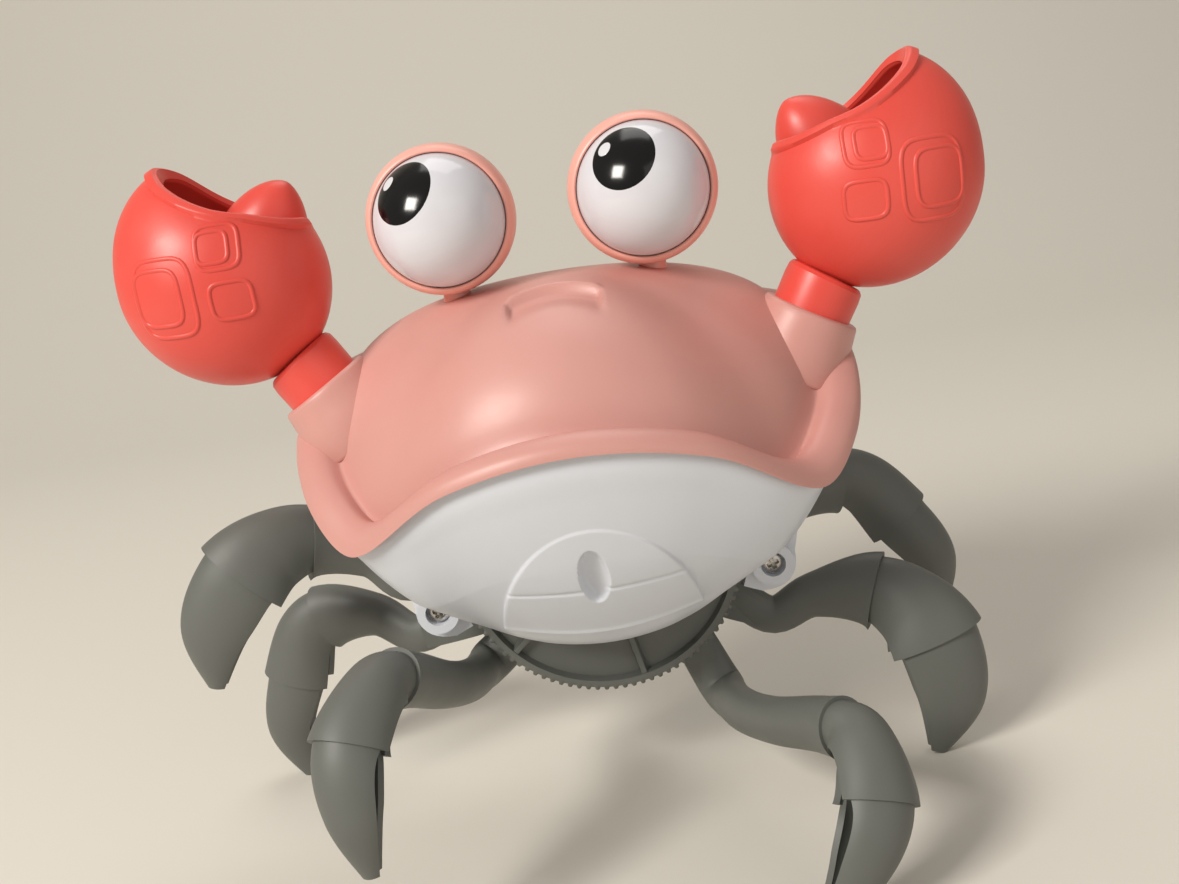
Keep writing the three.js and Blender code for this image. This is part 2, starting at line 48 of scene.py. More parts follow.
scene.view_settings.view_transform = "Standard"

# Camera: in front of the crab and a little above it, rolled so that the right claw stands higher,
# as the toy was photographed from arm's length. It is placed from the crank axle, as every piece is.
gear_low, gear_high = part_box("crank_gear")
BEHIND_GEAR_FACE = 0.004
gear_middle = (gear_low + gear_high) / 2
AXLE = Vector((gear_middle.x, gear_low.y + BEHIND_GEAR_FACE, gear_middle.z))
CAMERA_FROM_AXLE = Vector((0.01065, -0.2373, 0.08096))
lens = bpy.data.cameras.new("camera")
lens.sensor_width = 36.0
lens.lens = 38.17
lens.clip_start = 0.01
camera = bpy.data.objects.new("camera", lens)
scene.collection.objects.link(camera)
camera_right = Vector((0.98796, 0.0, -0.15471))
camera_up = Vector((0.15012, 0.24192, 0.95862))
camera_back = Vector((0.03743, -0.97030, 0.23901))
turned = Matrix((camera_right, camera_up, camera_back)).transposed().to_4x4()
camera.matrix_world = Matrix.Translation(AXLE + CAMERA_FROM_AXLE) @ turned
scene.camera = camera

# Studio: one pale sweep of card that runs under the crab and up behind it, with a soft lamp in front
# on the left, a weaker one on the right, one above and an even pale surround.
def tint(red, green, blue):
    """A colour as read off a screen, 0 to 255, in the linear values that shaders take."""
    linear = []
    for level in (red / 255, green / 255, blue / 255):
        linear.append(level / 12.92 if level <= 0.04045 else ((level + 0.055) / 1.055) ** 2.4)
    return (*linear, 1.0)


card = bpy.data.materials.new("pale_card")
card.use_nodes = True
card_shader = card.node_tree.nodes["Principled BSDF"]
card_shader.inputs["Base Color"].default_value = tint(222, 217, 207)
card_shader.inputs["Roughness"].default_value = 0.75
card_shader.inputs["Specular IOR Level"].default_value = 0.2
SWEEP_HALF_WIDTH = 2.2
SWEEP_FRONT = -1.6
SWEEP_BEND_AT = 0.45
SWEEP_BEND_RADIUS = 0.5
SWEEP_TOP = 2.2
sweep_side = [(SWEEP_FRONT, 0.0)]
for step in range(13):
    bend = math.radians(90 * step / 12)
    sweep_side.append((SWEEP_BEND_AT + SWEEP_BEND_RADIUS * math.sin(bend),
                       SWEEP_BEND_RADIUS - SWEEP_BEND_RADIUS * math.cos(bend)))
sweep_side.append((SWEEP_BEND_AT + SWEEP_BEND_RADIUS, SWEEP_TOP))
sweep_mesh = bpy.data.meshes.new("studio_sweep")
sweep_points = []
for side in (-SWEEP_HALF_WIDTH, SWEEP_HALF_WIDTH):
    sweep_points.extend((side, back, height) for back, height in sweep_side)
count = len(sweep_side)
sweep_faces = [(i, i + 1, count + i + 1, count + i) for i in range(count - 1)]
sweep_mesh.from_pydata(sweep_points, [], sweep_faces)
sweep_mesh.shade_smooth()
sweep_mesh.materials.append(card)
sweep = bpy.data.objects.new("studio_sweep", sweep_mesh)
scene.collection.objects.link(sweep)

LAMP_AIM = Vector((0, 0, 0.08))
for name, place, size, power, colour in (
    ("key_lamp", (-0.68, -0.66, 0.74), 0.36, 12.0, (1.0, 0.96, 0.9)),
    ("fill_lamp", (0.55, -0.8, 0.4), 0.9, 1.6, (1.0, 0.97, 0.93)),
    ("top_lamp", (0.1, 0.35, 1.0), 0.6, 2.4, (1.0, 0.98, 0.95)),
):
    lamp = bpy.data.lights.new(name, "AREA")
    lamp.size = size
    lamp.energy = power
    lamp.color = colour
    holder = bpy.data.objects.new(name, lamp)
    holder.location = place
    holder.rotation_euler = (LAMP_AIM - Vector(place)).to_track_quat("-Z", "Y").to_euler()
    scene.collection.objects.link(holder)
surround = bpy.data.worlds.new("pale_surround")
surround.use_nodes = True
surround.node_tree.nodes["Background"].inputs["Color"].default_value = tint(236, 232, 226)
surround.node_tree.nodes["Background"].inputs["Strength"].default_value = 0.3
scene.world = surround

# Carapace: the pink ABS dome over the whole crab, moulded in one shot with a cove above its
# flared brim and a crescent recess on the crown. It is clipped on from above.
MM = 0.001


def crab_point(sideways, forward, up):
    return AXLE + Vector((sideways, -forward, up)) * MM


def through(stations, at):
    """A smooth curve through the stations, read at one place."""
    if at <= stations[0][0]:
        return stations[0][1]
    if at >= stations[-1][0]:
        return stations[-1][1]
    k = max(i for i in range(len(stations) - 1) if stations[i][0] <= at)
    slopes = []
    for i in (k, k + 1):
        if 0 < i < len(stations) - 1:
            rise = stations[i + 1][1] - stations[i - 1][1]
            slopes.append(rise / (stations[i + 1][0] - stations[i - 1][0]))
        else:
            slopes.append(0.0)
    (x0, y0), (x1, y1) = stations[k], stations[k + 1]
    width = x1 - x0
    w = (at - x0) / width
    start = (2 * w**3 - 3 * w**2 + 1) * y0 + (w**3 - 2 * w**2 + w) * width * slopes[0]
    return start + (3 * w**2 - 2 * w**3) * y1 + (w**3 - w**2) * width * slopes[1]


def ease(low, high, at):
    w = min(1.0, max(0.0, (at - low) / (high - low)))
    return w * w * (3 - 2 * w)


def skin(name, rings, wrap=True, caps=(False, False), sharp=50):
    """A mesh through rings of points, one ring after another, with its faces turned outward."""
    mesh = bpy.data.meshes.new(name)
    size = len(rings[0])
    faces = []
    for i in range(len(rings) - 1):
        for j in range(size if wrap else size - 1):
            k = (j + 1) % size
            faces.append((i * size + j, i * size + k, (i + 1) * size + k, (i + 1) * size + j))
    if caps[0]:
        faces.append(tuple(range(size)))
    if caps[1]:
        faces.append(tuple((len(rings) - 1) * size + j for j in range(size)))
    mesh.from_pydata([p for ring in rings for p in ring], [], faces)
    work = bmesh.new()
    work.from_mesh(mesh)
    bmesh.ops.remove_doubles(work, verts=work.verts, dist=1e-6)
    bmesh.ops.recalc_face_normals(work, faces=work.faces)
    work.to_mesh(mesh)
    work.free()
    mesh.shade_smooth()
    mesh.set_sharp_from_angle(angle=math.radians(sharp))
    thing = bpy.data.objects.new(name, mesh)
    scene.collection.objects.link(thing)
    return thing


def build_moulded_skin():
    """Moulded plastic: slow colour drift, cloudy gloss and a fine spark-eroded grain."""
    group = bpy.data.node_groups.new("moulded_skin", "ShaderNodeTree")
    for label, kind in (("Tint", "NodeSocketColor"), ("Drift", "NodeSocketColor"),
                        ("Gloss Low", "NodeSocketFloat"), ("Gloss High", "NodeSocketFloat"),
                        ("Grain Scale", "NodeSocketFloat")):
        group.interface.new_socket(label, in_out="INPUT", socket_type=kind)
    for label, kind in (("Colour", "NodeSocketColor"), ("Roughness", "NodeSocketFloat"),
                        ("Height", "NodeSocketFloat")):
        group.interface.new_socket(label, in_out="OUTPUT", socket_type=kind)
    nodes = group.nodes
    links = group.links
    taken = nodes.new("NodeGroupInput")
    given = nodes.new("NodeGroupOutput")
    where = nodes.new("ShaderNodeTexCoord")
    drift = nodes.new("ShaderNodeTexNoise")
    drift.inputs["Scale"].default_value = 28
    drift.inputs["Detail"].default_value = 3
    cloud = nodes.new("ShaderNodeTexNoise")
    cloud.inputs["Scale"].default_value = 160
    cloud.inputs["Detail"].default_value = 4
    grain = nodes.new("ShaderNodeTexNoise")
    grain.inputs["Detail"].default_value = 2
    for texture in (drift, cloud, grain):
        links.new(where.outputs["Object"], texture.inputs["Vector"])
    links.new(taken.outputs["Grain Scale"], grain.inputs["Scale"])
    spread = nodes.new("ShaderNodeMapRange")
    spread.inputs["From Min"].default_value = 0.35
    spread.inputs["From Max"].default_value = 0.68
    links.new(drift.outputs["Fac"], spread.inputs["Value"])
    mix = nodes.new("ShaderNodeMix")
    mix.data_type = "RGBA"
    links.new(spread.outputs["Result"], mix.inputs["Factor"])
    links.new(taken.outputs["Tint"], mix.inputs["A"])
    links.new(taken.outputs["Drift"], mix.inputs["B"])
    links.new(mix.outputs["Result"], given.inputs["Colour"])
    gloss = nodes.new("ShaderNodeMapRange")
    gloss.inputs["From Min"].default_value = 0.3
    gloss.inputs["From Max"].default_value = 0.7
    links.new(cloud.outputs["Fac"], gloss.inputs["Value"])
    links.new(taken.outputs["Gloss Low"], gloss.inputs["To Min"])
    links.new(taken.outputs["Gloss High"], gloss.inputs["To Max"])
    links.new(gloss.outputs["Result"], given.inputs["Roughness"])
    links.new(grain.outputs["Fac"], given.inputs["Height"])
    return group


moulded_skin = build_moulded_skin()


def moulded(name, colour, drift, gloss, grain, bump):
    """A plastic that takes its colour, gloss and grain from the moulded skin."""
    material = bpy.data.materials.new(name)
    material.use_nodes = True
    nodes = material.node_tree.nodes
    links = material.node_tree.links
    shader = nodes["Principled BSDF"]
    finish = nodes.new("ShaderNodeGroup")
    finish.node_tree = moulded_skin
    finish.inputs["Tint"].default_value = colour
    finish.inputs["Drift"].default_value = drift
    finish.inputs["Gloss Low"].default_value = gloss[0]
    finish.inputs["Gloss High"].default_value = gloss[1]
    finish.inputs["Grain Scale"].default_value = grain
    relief = nodes.new("ShaderNodeBump")
    relief.inputs["Strength"].default_value = bump
    relief.inputs["Distance"].default_value = 0.0002
    links.new(finish.outputs["Colour"], shader.inputs["Base Color"])
    links.new(finish.outputs["Roughness"], shader.inputs["Roughness"])
    links.new(finish.outputs["Height"], relief.inputs["Height"])
    links.new(relief.outputs["Normal"], shader.inputs["Normal"])
    return material


def fit(thing, body, slot, material, *nodes):
    """Gives a piece its plastic, sets it on its body and lets it stand for its plain solids."""
    thing.data.materials.append(material)
    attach(thing, body)
    if nodes:
        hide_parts(*nodes)


pink_plastic = moulded("dusty_pink_plastic", tint(208, 153, 144), tint(204, 148, 139),
                       (0.38, 0.44), 1500, 0.03)
pink_shader = pink_plastic.node_tree.nodes["Principled BSDF"]
pink_shader.inputs["Subsurface Weight"].default_value = 0.12
pink_shader.inputs["Subsurface Radius"].default_value = (0.003, 0.0015, 0.001)

SHELL_HALF_WIDTH = 53.5
SHELL_HALF_DEPTH = 40.0
SHELL_FORWARD = 5.0
SHELL_TOP = 56.5
SHELL_WALL = 1.8
BRIM = [(0, 32), (24, 28), (50, 16.5), (68, 22), (90, 33), (115, 42), (180, 46)]
VALLEY_AT = 0.84
VALLEY_RISE = 0.06
BRIM_ROLL = 0.085
ROUNDNESS = 0.62
BRIM_SOFTENING = 0.016
RECESS_REAR = 15.2
RECESS_BOW = 2.6
RECESS_HALF_WIDTH = 8.7
RECESS_DEPTH = 1.5
RECESS_LIP = 0.4


def brim_height(turn):
    angle = abs(math.degrees(math.atan2(math.sin(turn), math.cos(turn))))
    return through(BRIM, angle)


def dome_rise(share):
    """The dome falls to a valley, and the brim outside the valley rolls up and over to its edge."""
    if share < VALLEY_AT:
        return VALLEY_RISE + (1 - VALLEY_RISE) * (1 - (share / VALLEY_AT) ** 2.3) ** ROUNDNESS
    out = min(1.0, (share - VALLEY_AT) / (1 - VALLEY_AT))
    if out < 0.5:
        return VALLEY_RISE * (1 - out) + BRIM_ROLL * math.sin(math.pi * out) ** 1.3
    return VALLEY_RISE * (1 - out) + BRIM_ROLL * (1 - (2 * out - 1) ** 2.4) ** ROUNDNESS


def soft_rise(share):
    """The same rise with its valley and edge softened, by a mean over a short stretch."""
    reach = BRIM_SOFTENING * min(1.0, (1 - share) / 0.03)
    return sum(dome_rise(abs(share + reach * (k - 4) / 4)) for k in range(9)) / 9


def crown_recess(sideways, forward):
    """Height of the crescent: a low rear lip, steep down under it, running out towards the front."""
    rear = RECESS_REAR + RECESS_BOW * (sideways / 9) ** 2
    side = 1 - ease(RECESS_HALF_WIDTH - 0.9, RECESS_HALF_WIDTH, abs(sideways))
    hollow = ease(rear, rear + 0.9, forward) * (1 - ease(rear + 2.2, rear + 9.0, forward))
    lip = math.exp(-(((forward - rear + 0.6) / 0.8) ** 2))
    return side * (RECESS_LIP * lip - RECESS_DEPTH * hollow)


def shell_point(share, turn, sink):
    brim = brim_height(turn)
    sideways = SHELL_HALF_WIDTH * share * math.sin(turn)
    forward = SHELL_FORWARD + SHELL_HALF_DEPTH * share * math.cos(turn)
    up = brim + (SHELL_TOP - brim) * soft_rise(min(share, 1.0)) - sink
    return sideways, forward, up


SHELL_TURNS = 240


def shell_ring(share, sink):
    return [crab_point(*shell_point(share, math.tau * j / SHELL_TURNS, sink)) for j in range(SHELL_TURNS)]


shell_rings = []
for step in range(121):
    share = max(0.002, (step / 120) ** 0.85)
    ring = []
    for j in range(SHELL_TURNS):
        sideways, forward, up = shell_point(share, math.tau * j / SHELL_TURNS, 0.0)
        up += crown_recess(sideways, forward)
        ring.append(crab_point(sideways, forward, up))
    shell_rings.append(ring)
for share, sink in ((1.001, 0.25), (1.001, 0.6), (0.9985, 0.75), (0.994, 0.8)):
    shell_rings.append(shell_ring(share, sink))
for step in range(30):
    share = 0.99 * (1 - step / 30)
    shell_rings.append(shell_ring(share, SHELL_WALL - ease(0.93, 0.99, share)))
carapace = skin("pink_carapace", shell_rings, caps=(True, True), sharp=70)
fit(carapace, "body", "pink_shell", pink_plastic, "carapace")

# Belly: the milky polypropylene bowl under the brim, with a proud arched flap that ends at a curved
# hem, a crease across the flap and an oval dimple. It hangs in front of the upper half of the crank gear.
milky_plastic = moulded("milky_white_plastic", tint(216, 219, 226), tint(213, 216, 223),
                        (0.3, 0.34), 1200, 0.0)
milky_shader = milky_plastic.node_tree.nodes["Principled BSDF"]
milky_shader.inputs["Subsurface Weight"].default_value = 0.2
milky_shader.inputs["Subsurface Radius"].default_value = (0.004, 0.004, 0.004)
BELLY_BOTTOM = -15.6
BELLY_SIDE = [(0.06, 1.0), (0.2, 0.95), (0.41, 0.84), (0.6, 0.7), (0.765, 0.54), (0.895, 0.38),
              (0.975, 0.2), (1.0, 0.0)]
BELLY_REACH = 0.955
BELLY_UNDER_SHELL = 1.6
BELLY_LEVEL = 40.0
BELLY_WALL = 1.6
FLAP_HALF_WIDTH = 18.8
FLAP_MIDDLE = -9.0
FLAP_RISE = 26.4
FLAP_PROUD = 0.8
HEM_UP = -6.9
HEM_BOW = 3.2
HEM_PROUD = 0.25
CREASE_UP = 4.2
CREASE_DEPTH = 0.34
DIMPLE_UP = 7.2
DIMPLE_HALF_WIDTH = 2.6
DIMPLE_HALF_HEIGHT = 5.8
DIMPLE_DEPTH = 2.7


def belly_point(depth, turn):
    share = through(BELLY_SIDE, depth)
    brim = brim_height(turn)
    seat = brim + (SHELL_TOP - brim) * dome_rise(BELLY_REACH) - BELLY_UNDER_SHELL
    rim = BELLY_LEVEL + (seat - BELLY_LEVEL) * min(1.0, share / 0.8)
    reach = BELLY_REACH * share
    return (SHELL_HALF_WIDTH * reach * math.sin(turn),
            SHELL_FORWARD + SHELL_HALF_DEPTH * reach * math.cos(turn),
            rim + (BELLY_BOTTOM - rim) * depth)


def belly_relief(sideways, up):
    """How far the face stands out: the flap and its hem up, the crease and the oval dimple in."""
    across = (sideways / FLAP_HALF_WIDTH) ** 2
    inside = ease(0.0, 0.06, 1 - across - ((up - FLAP_MIDDLE) / FLAP_RISE) ** 2)
    over_hem = up - HEM_UP - HEM_BOW * across
    flap = inside * ease(-0.5, 0.1, over_hem) * (1 - 0.65 * ease(5, 16, up))
    hem = inside * math.exp(-(((over_hem - 0.4) / 0.45) ** 2))
    hollow = 1 - ((sideways + 0.1) / DIMPLE_HALF_WIDTH) ** 2 - ((up - DIMPLE_UP) / DIMPLE_HALF_HEIGHT) ** 2
    dimple = 1 - math.exp(-4.5 * max(0.0, hollow))
    floor_slope = 0.78 - 0.18 * sideways
    over_crease = up - CREASE_UP - (sideways / 15) ** 2
    crease = math.exp(-((over_crease / 0.3) ** 2)) * inside * (1 - dimple)
    proud = FLAP_PROUD * flap + HEM_PROUD * hem
    return proud - CREASE_DEPTH * crease - DIMPLE_DEPTH * dimple * floor_slope


BELLY_TURNS = 260
belly_rings = []
BELLY_SWEEP = math.radians(89)
heart = Vector((0.0, 8.0, 14.0))
for step in range(221):
    depth = min(0.9995, step / 220)
    ring = []
    for j in range(BELLY_TURNS + 1):
        across = 2 * j / BELLY_TURNS - 1
        point = Vector(belly_point(depth, BELLY_SWEEP * (0.4 * across + 0.6 * across**3)))
        point += (point - heart).normalized() * belly_relief(point.x, point.z)
        ring.append(crab_point(*point))
    belly_rings.append(ring)
belly = skin("milky_belly", belly_rings, wrap=False, sharp=60)
wall = belly.modifiers.new("wall", "SOLIDIFY")
wall.thickness = BELLY_WALL * MM
wall.offset = -1
fit(belly, "body", "milky_plastic", milky_plastic, "belly")

# Chassis and back shell: the white deck with its screw bosses, the bearing wall behind the hubs
# and the bowl that closes the back. They keep the shape of their solids.
def dress(material, *names):
    """Gives its material to each solid that keeps its own shape."""
    for name in names:
        solid_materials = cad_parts[name].data.materials
        solid_materials.clear()
        solid_materials.append(material)


dress(milky_plastic, "chassis", "back_shell")

# Screws: two cross-recess screws of bright steel that hold the chassis to the belly. They are driven
# in from the front, so their domed heads show on the deck.
steel = bpy.data.materials.new("bright_steel")
steel.use_nodes = True
steel_shader = steel.node_tree.nodes["Principled BSDF"]
steel_shader.inputs["Metallic"].default_value = 1.0
steel_grain = steel.node_tree.nodes.new("ShaderNodeGroup")
steel_grain.node_tree = moulded_skin
steel_grain.inputs["Tint"].default_value = tint(196, 193, 188)
steel_grain.inputs["Drift"].default_value = tint(176, 172, 166)
steel_grain.inputs["Gloss Low"].default_value = 0.2
steel_grain.inputs["Gloss High"].default_value = 0.36
steel_grain.inputs["Grain Scale"].default_value = 3000
steel.node_tree.links.new(steel_grain.outputs["Colour"], steel_shader.inputs["Base Color"])
steel.node_tree.links.new(steel_grain.outputs["Roughness"], steel_shader.inputs["Roughness"])
ACROSS = Vector((1, 0, 0))
BACK = Vector((0, 1, 0))
UP = Vector((0, 0, 1))
SCREW_RADIUS = 1.98
SCREW_CROWN = 2.25
SLOT_DEPTH = 0.75
SCREW_TURN = 0.35


def hoop(centre, first, second, radius, count):
    """A ring of points round a centre, in the plane of two directions, its radius in millimetres."""
    ring = []
    for j in range(count):
        turn = math.tau * j / count
        ring.append(centre + MM * radius * (first * math.cos(turn) + second * math.sin(turn)))
    return ring


for side, word in ((-1, "left"), (1, "right")):
    low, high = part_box(f"screw_{word}")
    face = Vector(((low.x + high.x) / 2, low.y, (low.z + high.z) / 2))
    rings = []
    for step in range(25):
        radius = SCREW_RADIUS * step / 24
        ring = []
        for j in range(48):
            turn = math.tau * j / 48
            slot = radius * min(abs(math.cos(turn)), abs(math.sin(turn)))
            cross = (1 - ease(0.26, 0.4, slot)) * (1 - ease(1.0, 1.25, radius))
            out = math.sqrt(1 - (radius / SCREW_CROWN) ** 2) - SLOT_DEPTH * cross
            turn += SCREW_TURN * side
            spot = Vector((radius * math.cos(turn), 0.96 - out, radius * math.sin(turn)))
            ring.append(face + MM * spot)
        rings.append(ring)
    for radius, back in ((2.0, 1.1), (1.2, 1.2), (0.9, 1.6), (0.9, 3.4)):
        rings.append(hoop(face + MM * back * BACK, ACROSS, UP, radius, 48))
    screw = skin(f"cross_screw_{word}", rings, caps=(False, True), sharp=40)
    fit(screw, "body", "steel", steel, f"screw_{word}")

# Crank gear, axle and eccentrics: the grey acetal drive behind the belly. The gear is a disc with low
# blunt teeth, a raised ring inside them and six thin ribs that run out to the ring.
grey_plastic = moulded("matte_grey_plastic", tint(101, 103, 98), tint(97, 99, 94), (0.46, 0.54), 1800, 0.04)
GEAR_TEETH = 94
GEAR_ROOT = 27.85
GEAR_TIP = 28.45
GEAR_BORE = 2.3
RING_INSIDE = 26.0
BOSS_RADIUS = 5.0
WEB_DEPTH = 2.0
RIB_TURN = math.radians(-18.5)
gear_front = (AXLE.y - gear_low.y) / MM
gear_back = (AXLE.y - gear_high.y) / MM


def tooth_radius(turn):
    place = (turn * GEAR_TEETH / math.tau + 0.5) % 1 - 0.5
    return GEAR_ROOT + (GEAR_TIP - GEAR_ROOT) * (1 - ease(0.15, 0.32, abs(place)))


def gear_face(radius, turn):
    """How far the web lies under the ring: nothing on the ring, the ribs and the middle boss."""
    ring = ease(RING_INSIDE, RING_INSIDE + 0.35, radius)
    boss = 1 - ease(BOSS_RADIUS, BOSS_RADIUS + 0.4, radius)
    sixth = (turn - RIB_TURN + math.pi / 6) % (math.pi / 3) - math.pi / 6
    rib = 0.88 * (1 - ease(0.55, 0.85, abs(radius * math.sin(sixth))))
    return WEB_DEPTH * (1 - max(ring, boss, rib))


def gear_point(radius, turn, forward):
    return crab_point(radius * math.cos(turn), forward, radius * math.sin(turn))


GEAR_TURNS = GEAR_TEETH * 10
gear_turns = [math.tau * j / GEAR_TURNS for j in range(GEAR_TURNS)]
gear_rings = []
for radius in (GEAR_BORE, 3.6, 5.0, 5.2, 5.4, *range(7, 25, 2), 24.6, 25.7,
               26.0, 26.12, 26.24, 26.35, 27.0, 27.5):
    gear_rings.append([gear_point(radius, turn, gear_front - gear_face(radius, turn)) for turn in gear_turns])
for inset, forward in ((0.22, gear_front - 0.3), (0.0, gear_front - 0.5),
                       (0.0, gear_back + 0.3), (0.25, gear_back)):
    gear_rings.append([gear_point(tooth_radius(turn) - inset, turn, forward) for turn in gear_turns])
gear_rings.append([gear_point(GEAR_BORE, turn, gear_back) for turn in gear_turns])
gear_rings.append(gear_rings[0])
toothed_disc = skin("toothed_ribbed_disc", gear_rings, sharp=38)
fit(toothed_disc, "crank", "grey_plastic", grey_plastic, "crank_gear")
dress(grey_plastic, "eccentric_front", "eccentric_middle", "eccentric_rear",
      "hub_front", "hub_middle", "hub_rear")
dress(steel, "axle", "motor_shaft", "motor")

# Legs: three rigid left-right pairs, moulded in grey plastic and carried by the hubs. Each leg is three
# armour segments, each rim standing over the next, and the outer two are open along the inner side. A
# station gives the right leg beside its hub: sideways, forward, up, half width and half depth.
LEG_PAIRS = {
    "front": {"crank": 31, "tilt": 15.6, "rings": (0.611, 0.774), "stations": (
        (12.5, -3.8, -17, 4.2, 2.0), (19, -3.8, -25.8, 4.4, 2.1), (24.2, -2.8, -32.4, 4.6, 3.4),
        (27.2, 7.4, -32.2, 4.7, 4.0), (31.5, 20, -28, 4.7, 4.1),
        (37.5, 34, -21.2, 5.2, 4.4), (41, 42, -19.5, 6, 5), (43.4, 50, -27.2, 6.9, 5.4),
        (41.3, 54, -36.5, 5.6, 4.2), (37.9, 54, -46.9, 1.9, 1.6))},
    "middle": {"crank": 80, "tilt": 14.3, "rings": (0.52, 0.741), "stations": (
        (17, -8.7, -9.2, 4, 2.0), (27, -8.7, -14.6, 4, 2.0), (38, -8.7, -20.5, 4, 2.8),
        (46, -8, -15.2, 4.6, 3.6), (56.7, -5, -11.8, 7.4, 4.6),
        (64, -1.5, -13.7, 9, 5.4), (69.5, 1, -19.7, 9.8, 5.8), (74, 2, -30.7, 8.2, 4.8),
        (74, 2, -42.4, 2.2, 1.8))},
    "rear": {"crank": 180, "tilt": -7, "rings": (0.52, 0.745), "stations": (
        (18, -13.7, -6.5, 4, 2.0), (28, -13.9, -10.1, 4, 2.0), (37, -15, -13.4, 4, 2.8),
        (46, -21, -8.6, 4.6, 3.6), (57.2, -26, -7.6, 6.8, 4.6),
        (64, -27.5, -11, 7.4, 5.2), (69.6, -28, -21, 7.5, 5.4), (75, -28, -32, 6.1, 4.6),
        (74.4, -28, -43.9, 2.2, 1.8))},
}
CRANK_THROW = 7.0
SEGMENT_OVERLAP = 0.02
LEG_SHARP = 38


def leg_station(stations, t):
    """Centre, half width and half depth of the leg at t, on a smooth curve through its stations."""
    place = t * (len(stations) - 1)
    k = min(int(place), len(stations) - 2)
    w = place - k
    row = []
    for axis in range(5):
        before = stations[max(k - 1, 0)][axis]
        start = stations[k][axis]
        end = stations[k + 1][axis]
        after = stations[min(k + 2, len(stations) - 1)][axis]
        slope0 = (end - before) / 2
        slope1 = (after - start) / 2
        row.append((2 * w**3 - 3 * w**2 + 1) * start + (w**3 - 2 * w**2 + w) * slope0
                   + (3 * w**2 - 2 * w**3) * end + (w**3 - w**2) * slope1)
    return Vector(row[:3]), row[3], row[4]


def leg_frame(stations, t):
    centre, wide, depth = leg_station(stations, t)
    ahead, _, _ = leg_station(stations, min(1.0, t + 0.01))
    behind, _, _ = leg_station(stations, max(0.0, t - 0.01))
    along = (ahead - behind).normalized()
    inner = Vector((along.z, 0.0, -along.x))
    inner = (inner - along * inner.dot(along)).normalized()
    deep = along.cross(inner).normalized()
    return centre, wide, depth, inner, deep


def leg_ring(stations, t, swell, opening, wall):
    """One ring of a segment: round outside, and hollow with an open inner side where it is a trough."""
    centre, wide, depth, inner, deep = leg_frame(stations, t)
    span = math.pi - math.radians(opening)
    angles = [math.pi + span * (2 * j / 32 - 1) for j in range(33)]
    ring = []
    for angle in angles:
        across = inner * (wide * swell * math.cos(angle))
        ring.append(centre + across + deep * (depth * swell * math.sin(angle)))
    if wall > 0:
        thin = max(0.25, 1 - wall / max(depth * swell, 0.1))
        for angle in reversed(angles):
            across = inner * ((wide * swell - wall) * math.cos(angle))
            ring.append(centre + across + deep * (depth * swell * thin * math.sin(angle)))
    else:
        ring.extend([ring[-1].lerp(ring[0], (j + 1) / 34) for j in range(33)])
    return ring


def join(pieces, sharp):
    """Puts pieces together in the mesh of the first one."""
    whole = pieces[0]
    work = bmesh.new()
    for piece in pieces:
        work.from_mesh(piece.data)
    work.to_mesh(whole.data)
    work.free()
    for piece in pieces[1:]:
        bpy.data.objects.remove(piece)
    whole.data.set_sharp_from_angle(angle=math.radians(sharp))
    return whole


def on_hub(point, side, leg):
    """A point of a leg, tilted with its pair, mirrored for the left and set on its crank pin."""
    pin = math.radians(leg["crank"])
    tilt = math.radians(leg["tilt"])
    sideways = side * point.x
    x = sideways * math.cos(tilt) + point.z * math.sin(tilt) + CRANK_THROW * math.cos(pin)
    z = -sideways * math.sin(tilt) + point.z * math.cos(tilt) + CRANK_THROW * math.sin(pin)
    return crab_point(x, point.y, z)


for word, leg in LEG_PAIRS.items():
    first, second = leg["rings"]
    segments = (
        (0.0, first, 1.0, 1.1, 12, 0.0),
        (first - SEGMENT_OVERLAP, second, 0.96, 1.12, 38, 1.3),
        (second - SEGMENT_OVERLAP, 1.0, 0.98, 1.0, 46, 1.2),
    )
    for side, hand in ((-1, "left"), (1, "right")):
        meshes = []
        for start, end, swell_in, swell_out, opening, wall_thick in segments:
            rings = []
            for step in range(33):
                w = step / 32
                swell = swell_in + (swell_out - swell_in) * w**2.2
                ring = leg_ring(leg["stations"], start + (end - start) * w, swell, opening, wall_thick)
                rings.append([on_hub(point, side, leg) for point in ring])
            meshes.append(skin(f"segment_{word}_{hand}", rings, caps=(True, True), sharp=LEG_SHARP))
        joined = join(meshes, LEG_SHARP)
        joined.name = f"armoured_leg_{word}_{hand}"
        fit(joined, f"{word}_legs", "grey_plastic", grey_plastic, f"leg_{word}_{hand}")

# Drive and power: the motor with its white pinion, the cell, the board and the speaker lie inside,
# and the black slide switch shows in its slot in the back shell.
white_plastic = moulded("gloss_white_plastic", tint(217, 216, 222), tint(214, 213, 219),
                        (0.12, 0.16), 900, 0.0)
black_plastic = moulded("black_plastic", tint(24, 24, 26), tint(30, 30, 32), (0.3, 0.45), 1600, 0.05)
green_board = moulded("green_board", tint(44, 104, 66), tint(38, 92, 58), (0.35, 0.5), 1400, 0.03)
blue_sleeve = moulded("blue_sleeve", tint(58, 108, 166), tint(52, 98, 154), (0.25, 0.35), 1000, 0.02)
dress(white_plastic, "motor_pinion")
dress(blue_sleeve, "battery")
dress(green_board, "circuit_board")
dress(black_plastic, "speaker", "switch_slider")

